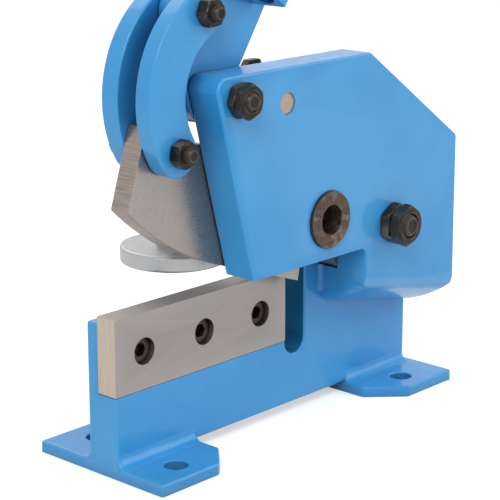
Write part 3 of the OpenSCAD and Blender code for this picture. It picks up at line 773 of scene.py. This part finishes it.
def makeCheek():
    piece = copyOfNode("cheek", "cheekPainted")
    low, high = lowCheek, highCheek
    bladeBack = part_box("upper_blade")[0].y / mm
    holes = [holeAt("blade_pivot_nut", cheekEdges["pivotHole"]),
             holeAt("lever_pivot_nut", cheekEdges["leverHole"]),
             holeAt("stop_pin", cheekEdges["pinHole"]),
             holeAt("cheek_bar_bush", cheekEdges["bushHole"])]
    plugHoles(piece, holes)
    mergeShort(piece)
    pivotX, pivotZ = holes[0][:2]
    leanFaces = [face for face in piece.data.polygons if -0.999 < face.normal.x < -0.85]
    leanFace = max(leanFaces, key=lambda face: face.area)
    leanNormal, leanPoint = leanFace.normal.copy(), leanFace.center / mm
    frontLow = min(v.co.z / mm for v in piece.data.vertices
                   if v.co.y / mm < low.y + fineSlack and abs(v.co.x / mm - bossStart) < slack)

    def width(at, left, right):
        if at.y > lowWeb.y - 2 * slack and max(left.y, right.y) > upright:
            return 0
        fromPivot = math.hypot(at.x - pivotX, at.z - pivotZ)
        if at.y > bladeBack - 0.5 and fromPivot < cheekEdges["eyeClear"]:
            return 0
        under = at.z < frontLow + cheekEdges["bossLow"] and min(left.z, right.z) < -0.6
        if under and at.x > bossStart - 1:
            if at.y < low.y + slack:
                return 0
            if at.x < bossStart + 1:
                return cheekEdges["bossEnd"]
            return cheekEdges["bossRear"] if at.x > high.x - 1 else 0
        if at.y < low.y + slack:
            return cheekEdges["face"]
        return cheekEdges["back"] if at.y > bladeBack - 1 else 0

    innerCorner(piece, frontLow)
    roundEdges(piece, width, segments=4)
    # the long edge of the leaning end, then the boss's lower edge that runs under in a wide round
    toward = Vector((leanNormal.z, 0, -leanNormal.x)).normalized()
    routEdge(piece, Vector((leanPoint.x, low.y, leanPoint.z)), Vector((0, 1, 0)),
             Vector((-leanNormal.x, 0, -leanNormal.z)), cheekEdges["lean"], toward,
             cheekEdges["leanReach"])
    fall, under = math.radians(cheekEdges["bossFall"]), math.radians(cheekEdges["bossUnder"])
    rise = Vector((math.sin(fall), 0, math.cos(fall)))
    routEdge(piece, Vector((bossStart, low.y, frontLow)), rise,
             Vector((0, math.cos(under), 0)) - rise * math.sin(under), cheekEdges["bossRound"],
             Vector((math.cos(fall), 0, -math.sin(fall))), cheekEdges["bossReach"])
    drillHoles(piece, holes, low.y - 1, bladeBack + cheekEdges["drillPast"])
    return standFor(smoothFaces(piece), "cheek")


footEdges = {"top": 2.0, "upright": 2.6, "under": 0.7, "rim": 0.8, "clearX": 8, "clearY": 6}


def makeFoot(nodeName, pieceName):
    piece = copyOfNode(nodeName, pieceName)
    low, high = boxOf(nodeName)

    def width(at, left, right):
        if not (facesAlong(left, 2) or facesAlong(right, 2)):
            return footEdges["upright"]
        if at.z < high.z - slack:
            return footEdges["under"]
        inside = (low.x + footEdges["clearX"] < at.x < high.x - footEdges["clearX"]
                  and low.y + footEdges["clearY"] < at.y < high.y - footEdges["clearY"])
        return footEdges["rim"] if inside else footEdges["top"]

    roundEdges(piece, width, segments=4)
    return standFor(smoothFaces(piece), nodeName)


beadSet = {"leg": 7.4, "sink": 4, "tuck": 2.2, "lift": 0.04, "steps": 8, "slice": 3, "end": 2.4,
           "wave": 0.8, "grain": 0.014, "calmEnd": 5, "calmEdge": 0.3,
           "start": 0.02, "frontShort": 0.1, "rearShort": 0.3}
weldWaves = bpy.data.textures.new("weldWaves", "CLOUDS")
weldWaves.noise_scale = beadSet["grain"]


def coveRun(pieceName, wall, side, start, length):
    # a smooth concave run along X, sunk into the web and the foot; side is -1 on the cheek's side
    leg, lift = beadSet["leg"], beadSet["lift"]
    outline = [(wall - side * beadSet["sink"], footTop - beadSet["tuck"]),
               (wall - side * beadSet["sink"], footTop + leg)]
    for k in range(beadSet["steps"] + 1):
        turn = math.pi / 2 * k / beadSet["steps"]
        outline.append((wall + side * (leg - leg * math.cos(turn) + lift),
                        footTop + leg - leg * math.sin(turn) + lift))
    outline.append((wall + side * (leg + lift), footTop - beadSet["tuck"]))
    piece = outlineFace(pieceName, [(start * mm, y * mm, z * mm) for y, z in outline])
    drawOut((length * mm, 0, 0))
    orientFaces()

    def width(at, left, right):
        onEnd = facesAlong(left, 0) or facesAlong(right, 0)
        shown = at.z > footTop - 0.5 and (at.y - wall) * side > -0.5
        return beadSet["end"] if onEnd and shown else 0

    roundEdges(piece, width, segments=4, sharp=20)
    for k in range(2, int(length / beadSet["slice"]) - 1):
        cutAcross(piece, Vector((start + k * beadSet["slice"], 0, 0)) * mm, (1, 0, 0))
    crown = piece.vertex_groups.new(name="crown")
    wavesFrom, wavesTo = start + beadSet["calmEnd"], start + length - beadSet["calmEnd"]
    chosen = [v.index for v in piece.data.vertices if wavesFrom < v.co.x / mm < wavesTo
              and v.co.z / mm > footTop + beadSet["calmEdge"]
              and (v.co.y / mm - wall) * side > beadSet["calmEdge"]]
    crown.add(chosen, 1.0, "REPLACE")
    ripple = piece.modifiers.new("ripple", "DISPLACE")
    ripple.texture = weldWaves
    ripple.texture_coords = "LOCAL"
    ripple.vertex_group = "crown"
    ripple.strength = beadSet["wave"] * mm
    pickOnly(piece)
    settle(ripple)
    return piece


def makeWelds():
    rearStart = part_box("rear_foot")[0].x / mm
    frontRun = (lowFoot.x + beadSet["start"], highFoot.x - lowFoot.x - beadSet["frontShort"])
    rearRun = (rearStart + beadSet["start"], highWeb.x - rearStart - beadSet["rearShort"])
    beads = None
    for side, wall in ((-1, lowWeb.y), (1, highWeb.y)):
        for start, length in (frontRun, rearRun):
            bead = coveRun("footWeldBeads", wall, side, start, length)
            beads = joinTo(beads, bead) if beads else bead
    return standFor(smoothFaces(beads, angle=50), "foot_welds")


coveSet = {"leg": 3.4, "sink": 0.4, "steps": 6, "top": 96.0, "under": 70.7, "rear": 138.0,
           "turnSteps": 6}


def makeCove():
    # smooth cove that joins the boss to the web: down its end, round the corner and under it
    leg, sink = coveSet["leg"], coveSet["sink"]
    wall, start = lowWeb.y, bossStart
    fall = math.radians(cheekEdges["bossFall"])
    radius = cheekEdges["bossEnd"] * math.tan((math.pi / 2 + fall) / 2)
    outline = [(start + sink, wall + sink), (start - leg, wall + sink)]
    for k in range(coveSet["steps"] + 1):
        turn = math.pi / 2 * (1 - k / coveSet["steps"])
        outline.append((start - leg + leg * math.cos(turn), wall - leg + leg * math.sin(turn)))
    outline.append((start + sink, wall - leg))
    turnAt = coveSet["under"] + cheekEdges["bossEnd"]
    piece = outlineFace("bossWeldCove",
                        [(x * mm, y * mm, coveSet["top"] * mm) for x, y in outline])
    drawOut((0, 0, (turnAt - coveSet["top"]) * mm))
    bpy.ops.mesh.spin(steps=coveSet["turnSteps"], angle=math.pi / 2 - fall, axis=(0, -1, 0),
                      dupli=False, center=((start + radius) * mm, wall * mm, turnAt * mm))
    run = (coveSet["rear"] - start - radius) / math.cos(fall)
    drawOut((run * math.cos(fall) * mm, 0, -run * math.sin(fall) * mm))
    orientFaces(merge=joinWithin)
    smoothFaces(piece, angle=45)
    piece.data.materials.append(finishes["blue_paint"])
    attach(piece, "frame")


makeWeb()
makeCheek()
makeCove()
makeFoot("front_foot", "frontFootPainted")
makeFoot("rear_foot", "rearFootPainted")
makeWelds()
print("frame painted")


# Other plates and turned pieces, some of which only need their edges broken

softPieces = {
    "front_link": ("frontLinkPainted", 1.3, 3),
    "rear_link": ("rearLinkPainted", 1.3, 3),
    "lever_plate": ("leverPainted", 1.1, 3),
    "handle_socket": ("handleSocketPainted", 0.9, 3),
    "upper_blade": ("upperBladeGround", 0.35, 2),
    "blade_bar_bush": ("bladeBarBushTurned", 0.4, 2),
    "hold_down_pad": ("holdDownPadTurned", 0.9, 3),
    "blade_pivot_washer": ("bladePivotWasherTurned", 0.5, 2),
    "lever_pivot_washer": ("leverPivotWasherTurned", 0.35, 2),
    "link_washers": ("linkWashersTurned", 0.4, 2),
    "hold_down_locknut": ("holdDownLocknutEased", 0.8, 2),
    "handle_screw": ("handleScrewEased", 0.6, 2),
    "handle_tube": ("handleTubePainted", 0.6, 2),
}
for nodeName, (pieceName, edge, segments) in softPieces.items():
    softPiece = roundEdges(copyOfNode(nodeName, pieceName), evenly(edge), segments)
    standFor(smoothFaces(softPiece), nodeName)

lowerBladeEdges = {"seam": 0.9, "other": 0.35}


def makeLowerBlade():
    # the lower edge is eased more, which leaves a dark seam above the bed
    piece = copyOfNode("lower_blade", "lowerBladeGround")
    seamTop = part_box("lower_blade")[0].z / mm + slack

    def width(at, left, right):
        return lowerBladeEdges["seam" if at.z < seamTop else "other"]

    roundEdges(piece, width, segments=2)
    standFor(smoothFaces(piece), "lower_blade")
    piece.data.materials[0] = lowerSteel


bushSet = {"proud": 1.3, "outer": 1.5, "inner": 0.8, "wall": 4}


def makeBush():
    # the bush stands a little proud of the cheek and has a broad chamfer
    piece = copyOfNode("cheek_bar_bush", "cheekBarBushTurned")
    low, high = boxOf("cheek_bar_bush")
    spot = (low + high) / 2
    selectFaces(piece, lambda at, normal: normal.y < -upright and at.y < low.y + fineSlack)
    bpy.ops.transform.translate(value=(0, -bushSet["proud"] * mm, 0))
    toMode("OBJECT")
    middle = (high.x - low.x) / 2 - bushSet["wall"]

    def width(at, left, right):
        outer = math.hypot(at.x - spot.x, at.z - spot.z) > middle
        return bushSet["outer"] if outer and at.y < low.y else bushSet["inner"]

    roundEdges(piece, width, segments=2)
    standFor(smoothFaces(piece), "cheek_bar_bush")
    # painted shade: the outer wall and chamfer take the black oxide finish, which stands in for
    # the shade on them
    piece.data.materials.append(finishes["black_oxide"])
    for face in piece.data.polygons:
        outward = math.hypot(face.center.x / mm - spot.x, face.center.z / mm - spot.z) > middle
        if outward and face.normal.y > -upright:
            face.material_index = 1
    return piece


pinSet = {"back": 0.8, "edge": 0.4}


def makePin():
    # the pin's sanded end lies a little below the cheek's face
    piece = copyOfNode("stop_pin", "stopPinTurned")
    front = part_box("stop_pin")[0].y + pinSet["back"] * mm
    cutAcross(piece, (0, front, 0), (0, 1, 0), clearInner=True)
    roundEdges(piece, evenly(pinSet["edge"]), segments=2)
    return standFor(smoothFaces(piece), "stop_pin")


makeBracket()
makeLowerBlade()
makeBush()
makePin()
print("plates and turned pieces softened:", len(softPieces))


# Bolts with turned threads where their ends show

def turnedBar(pieceName, rings, steps):
    # a disc drawn out ring by ring along Z: each ring is (height, radius) in mm
    bpy.ops.object.select_all(action="DESELECT")
    bpy.ops.mesh.primitive_circle_add(vertices=steps, radius=rings[0][1] * mm, fill_type="NGON",
                                      location=(0, 0, rings[0][0] * mm))
    piece = bpy.context.active_object
    piece.name = pieceName
    bpy.ops.object.transform_apply(location=True, rotation=True, scale=True)
    editAll(piece)
    for (height, radius), (nextHeight, nextRadius) in zip(rings, rings[1:]):
        drawOut((0, 0, (nextHeight - height) * mm))
        share = nextRadius / radius
        bpy.ops.transform.resize(value=(share, share, 1), center_override=(0, 0, nextHeight * mm))
    orientFaces()
    return piece


def layAlong(piece, start, direction):
    # turns a piece made along Z into its place and keeps the place in the mesh
    pickOnly(piece)
    piece.rotation_euler = Vector(direction).to_track_quat("Z", "Y").to_euler()
    piece.location = Vector(start) * mm
    bpy.ops.object.transform_apply(location=True, rotation=True, scale=True)


threadSet = {"depth": 0.42, "crestFrom": 0.38, "crestTo": 0.55}


def threadRings(start, end, radius, pitch):
    root = radius - pitch * threadSet["depth"]
    crestFrom, crestTo = pitch * threadSet["crestFrom"], pitch * threadSet["crestTo"]
    rings = []
    height = start
    while height + pitch <= end:
        rings += [(height, root), (height + crestFrom, radius), (height + crestTo, radius)]
        height += pitch
    return rings + [(height, root)]


linkBolt = {"radius": 5, "head": 8, "pitch": 1.5, "thread": 14}
boltSet = {
    "lower_link_bolt": {"piece": "lowerLinkBoltThreaded", **linkBolt},
    "upper_link_bolt": {"piece": "upperLinkBoltThreaded", **linkBolt},
    "blade_pivot_bolt": {"piece": "bladePivotBoltThreaded", "radius": 8, "head": 10,
                         "pitch": 2, "thread": 18},
    "lever_pivot_bolt": {"piece": "leverPivotBoltThreaded", "radius": 6, "head": 7.2,
                         "pitch": 1.75, "thread": 14},
}
# shares of the bolt's radius, apart from the depth of the dish and the overlaps
boltEnd = {"face": 0.70, "brow": 0.76, "browAt": 0.06, "threadAt": 0.22, "dishRim": 0.16,
           "dishSlope": 0.05, "dishDeep": 0.35, "ringGap": 0.01, "intoHead": 0.2, "steps": 40}


def makeBolt(nodeName, settings):
    low, high = boxOf(nodeName)
    radius, pitch = settings["radius"], settings["pitch"]
    length = high.y - low.y - settings["head"]
    spot = (low + high) / 2
    threadAt = radius * boltEnd["threadAt"]
    rings = [(0, radius * boltEnd["face"]),
             (radius * boltEnd["browAt"], radius * boltEnd["brow"]),
             (threadAt, radius - pitch * threadSet["depth"])]
    rings += threadRings(threadAt + boltEnd["ringGap"], settings["thread"], radius, pitch)
    rings += [(settings["thread"] + pitch, radius), (length + boltEnd["intoHead"], radius)]
    piece = turnedBar(settings["piece"], rings, boltEnd["steps"])
    layAlong(piece, (spot.x, low.y, spot.z), (0, 1, 0))
    # a shallow turned dish in the bolt's end
    selectFaces(piece, lambda at, normal: normal.y < -upright and at.y < low.y + fineSlack)
    bpy.ops.mesh.inset(thickness=radius * boltEnd["dishRim"] * mm, depth=0)
    bpy.ops.mesh.inset(thickness=radius * boltEnd["dishSlope"] * mm,
                       depth=-boltEnd["dishDeep"] * mm)
    toMode("OBJECT")
    head = copyOfNode(nodeName, settings["piece"] + "Head")
    cutAcross(head, Vector((spot.x, low.y + length, spot.z)) * mm, (0, 1, 0), clearInner=True)
    return standFor(smoothFaces(joinTo(piece, head), angle=32), nodeName)


nutSet = {"slope": 30, "face": 0.93, "rim": 0.25, "past": 0.1, "over": 0.05}
nutPieces = {
    "lower_link_nut": "lowerLinkNutTurned",
    "upper_link_nut": "upperLinkNutTurned",
    "blade_pivot_nut": "bladePivotNutTurned",
    "blade_pivot_locknut": "bladePivotLocknutTurned",
    "lever_pivot_nut": "leverPivotNutTurned",
    "lever_pivot_locknut": "leverPivotLocknutTurned",
}


def makeNut(nodeName, pieceName):
    # a hexagon whose corners are turned away at both ends
    piece = copyOfNode(nodeName, pieceName)
    low, high = boxOf(nodeName)
    spot = (low + high) / 2
    middle = Vector((spot.x, 0, spot.z))
    reaches = [(face.center / mm - middle).dot(face.normal) for face in piece.data.polygons
               if abs(face.normal.y) < 1 - upright]
    inner = max(reaches)
    corners = [math.hypot(v.co.x / mm - spot.x, v.co.z / mm - spot.z)
               for v in piece.data.vertices]
    outer = max(corners) + nutSet["past"]
    small, height = inner * nutSet["face"], high.y - low.y
    rise = (outer - small) * math.tan(math.radians(nutSet["slope"]))
    rings = [(-nutSet["over"], small), (rise, outer), (height - rise, outer),
             (height + nutSet["over"], small)]
    turned = turnedBar("turningTool", rings, roundSteps)
    layAlong(turned, (spot.x, low.y, spot.z), (0, 1, 0))
    cutBy(piece, turned, "INTERSECT")
    roundEdges(piece, evenly(nutSet["rim"]), segments=2, sharp=25)
    return standFor(smoothFaces(piece, angle=30), nodeName)


for nodeName, settings in boltSet.items():
    makeBolt(nodeName, settings)
for nodeName, pieceName in nutPieces.items():
    makeNut(nodeName, pieceName)
print("bolts threaded:", len(boltSet), "nuts turned:", len(nutPieces))


# Hold-down screw and grip

spindleSet = {"radius": 7, "root": 5.5, "pitch": 3, "rootTo": 0.22, "crestFrom": 0.42,
              "crestTo": 0.8, "turnsBelow": 2, "spareTurns": 4, "intoHead": 0.5, "head": 9.8,
              "headEdge": 1.0, "steps": 40, "joinWithin": 0.000005}


def makeSpindle():
    low, high = boxOf("hold_down_screw")
    spot = (low + high) / 2
    pitch, radius, root = spindleSet["pitch"], spindleSet["radius"], spindleSet["root"]
    headFoot = high.z - spindleSet["head"]
    points = [(root, 0), (root, pitch * spindleSet["rootTo"]),
              (radius, pitch * spindleSet["crestFrom"]), (radius, pitch * spindleSet["crestTo"]),
              (root, pitch)]
    flank = bpy.data.meshes.new("holdDownScrewThreaded")
    flank.from_pydata([(x * mm, 0, z * mm) for x, z in points],
                      [(k, k + 1) for k in range(len(points) - 1)], [])
    piece = bpy.data.objects.new("holdDownScrewThreaded", flank)
    scene.collection.objects.link(piece)
    pickOnly(piece)
    thread = piece.modifiers.new("thread", "SCREW")
    thread.angle = math.tau
    thread.screw_offset = pitch * mm
    thread.iterations = int((headFoot - low.z) / pitch) + spindleSet["spareTurns"]
    thread.steps = thread.render_steps = spindleSet["steps"]
    thread.use_merge_vertices = True
    settle(thread)
    layAlong(piece, (spot.x, spot.y, low.z - spindleSet["turnsBelow"] * pitch), (0, 0, 1))
    toMode("EDIT")
    orientFaces(merge=spindleSet["joinWithin"])
    threadTop = headFoot + spindleSet["intoHead"]
    cutAcross(piece, Vector((0, 0, threadTop)) * mm, (0, 0, 1), clearOuter=True)
    cutAcross(piece, Vector((0, 0, low.z)) * mm, (0, 0, 1), clearInner=True)
    head = copyOfNode("hold_down_screw", "spindleHead")
    cutAcross(head, Vector((0, 0, headFoot)) * mm, (0, 0, 1), clearInner=True)
    roundEdges(head, evenly(spindleSet["headEdge"]), segments=2)
    return standFor(smoothFaces(joinTo(piece, head), angle=32), "hold_down_screw")


# lip and rim are (height, drop below the full radius), a rib is (height, rise above its swell)
gripSet = {"lean": 33.5, "start": 60, "length": 130.9, "radius": 14.5, "waist": 12.9,
           "lip": ((0, 2.2), (0.6, 0.9), (1.8, 0.2), (3, 0)),
           "collar": 8, "collarEdge": 2, "collarDrop": 0.5,
           "ribs": 13, "ribPitch": 8.2, "firstRib": 14, "swell": 0.7,
           "rib": ((-2.6, -1.0), (-1.6, -0.1), (0, 0.3), (1.6, -0.1), (2.6, -1.0)),
           "waistEnd": 7, "rim": ((-5, 0.4), (-3, 0), (0, 0)), "dome": 7, "domeSteps": 6,
           "steps": 48}


def makeGrip():
    tubeLow, tubeHigh = boxOf("handle_tube")
    lean = math.radians(gripSet["lean"])
    along = Vector((math.sin(lean), 0, math.cos(lean)))
    start = (tubeLow + tubeHigh) / 2 + along * gripSet["start"]
    wide, waist, dome = gripSet["radius"], gripSet["waist"], gripSet["dome"]
    collar, collarEdge = gripSet["collar"], gripSet["collarEdge"]
    rings = [(height, wide - drop) for height, drop in gripSet["lip"]]
    rings += [(collar - collarEdge, wide), (collar, wide - gripSet["collarDrop"]),
              (collar + collarEdge, waist)]
    for k in range(gripSet["ribs"]):
        at = gripSet["firstRib"] + k * gripSet["ribPitch"]
        swell = gripSet["swell"] * math.sin(math.pi * (k + 0.5) / gripSet["ribs"])
        rings += [(at + height, waist + swell + rise) for height, rise in gripSet["rib"]]
    top = gripSet["length"] - dome
    rings.append((top - gripSet["waistEnd"], waist))
    rings += [(top + height, wide - drop) for height, drop in gripSet["rim"]]
    for k in range(1, gripSet["domeSteps"] + 1):
        turn = math.pi / 2 * k / gripSet["domeSteps"]
        rings.append((top + dome * math.sin(turn), wide - dome * (1 - math.cos(turn))))
    piece = turnedBar("handleGripRibbed", rings, gripSet["steps"])
    layAlong(piece, start, along)
    return standFor(smoothFaces(piece, angle=40), "handle_grip")


makeSpindle()
makeGrip()
print("spindle and grip made")

for name, part in frame["nodes"].items():
    sunk = name == "lower_blade_screws"
    part.data.materials.clear()
    part.data.materials.append(screwOxide if sunk else finishes[nodeSlot[name]])


# Camera, lights and floor

cameraSet = {"place": (-0.77606, -0.70450, 0.39259), "look": (0.7125, 0.6522, -0.2585),
             "lens": 122.5, "sensor": 36, "clip": (0.05, 60)}
camera = bpy.data.objects.new("photoCamera", bpy.data.cameras.new("photoCamera"))
scene.collection.objects.link(camera)
camera.location = cameraSet["place"]
camera.rotation_euler = Vector(cameraSet["look"]).to_track_quat("-Z", "Y").to_euler()
camera.data.lens = cameraSet["lens"]
camera.data.sensor_width = cameraSet["sensor"]
camera.data.clip_start, camera.data.clip_end = cameraSet["clip"]
scene.camera = camera

lampSet = {
    "key": {"place": (-1.88, -1.2, 2.1), "aim": (0, 0, 0.12), "size": 1.6, "power": 44},
    "fill": {"place": (1.5, -1.7, 1.5), "aim": (0, 0, 0.15), "size": 1.8, "power": 20},
    "back": {"place": (0.6, 2.0, 2.0), "aim": (0, 0, 0.15), "size": 1.8, "power": 16},
}
for name, lamp in lampSet.items():
    light = bpy.data.lights.new(name + "Lamp", "AREA")
    light.size = lamp["size"]
    light.energy = lamp["power"]
    holder = bpy.data.objects.new(name + "Lamp", light)
    scene.collection.objects.link(holder)
    holder.location = lamp["place"]
    look = Vector(lamp["aim"]) - Vector(lamp["place"])
    holder.rotation_euler = look.to_track_quat("-Z", "Y").to_euler()

white = (1, 1, 1, 1)
skySet = {"light": 0.40, "seen": 1.0}


def backdropRays(tree):
    # 1 for rays from the camera, from reflections and through glass, which see a white backdrop
    rays = addNode(tree, "ShaderNodeLightPath").outputs
    shown = mathOn(tree, "MAXIMUM", rays["Is Camera Ray"], rays["Is Glossy Ray"])
    return mathOn(tree, "MAXIMUM", shown, rays["Is Transmission Ray"])


sky = bpy.data.worlds.new("studioSky")
scene.world = sky
sky.use_nodes = True
skyTree = sky.node_tree
skyLight = remap(skyTree, backdropRays(skyTree), 0, 1, skySet["light"], skySet["seen"])
feed(skyTree, skyTree.nodes["Background"], Color=white, Strength=skyLight)

floorSet = {"size": 16, "tone": (0.78, 0.78, 0.78, 1), "lift": 0.50}
bpy.ops.object.select_all(action="DESELECT")
bpy.ops.mesh.primitive_plane_add(size=floorSet["size"], location=(0, 0, 0))
floor = bpy.context.active_object
floor.name = "studioFloor"
floorFinish = bpy.data.materials.new("floorPale")
floorFinish.use_nodes = True
floorTree = floorFinish.node_tree
floorTree.nodes.remove(floorTree.nodes["Principled BSDF"])
matt = addNode(floorTree, "ShaderNodeBsdfDiffuse", Color=floorSet["tone"])
floorLift = remap(floorTree, backdropRays(floorTree), 0, 1, 0, floorSet["lift"])
glow = addNode(floorTree, "ShaderNodeEmission", Color=white, Strength=floorLift)
both = addNode(floorTree, "ShaderNodeAddShader")
floorTree.links.new(matt.outputs[0], both.inputs[0])
floorTree.links.new(glow.outputs[0], both.inputs[1])
feed(floorTree, floorTree.nodes["Material Output"], Surface=both.outputs[0])
floor.data.materials.append(floorFinish)
print("camera, lamps and floor set")
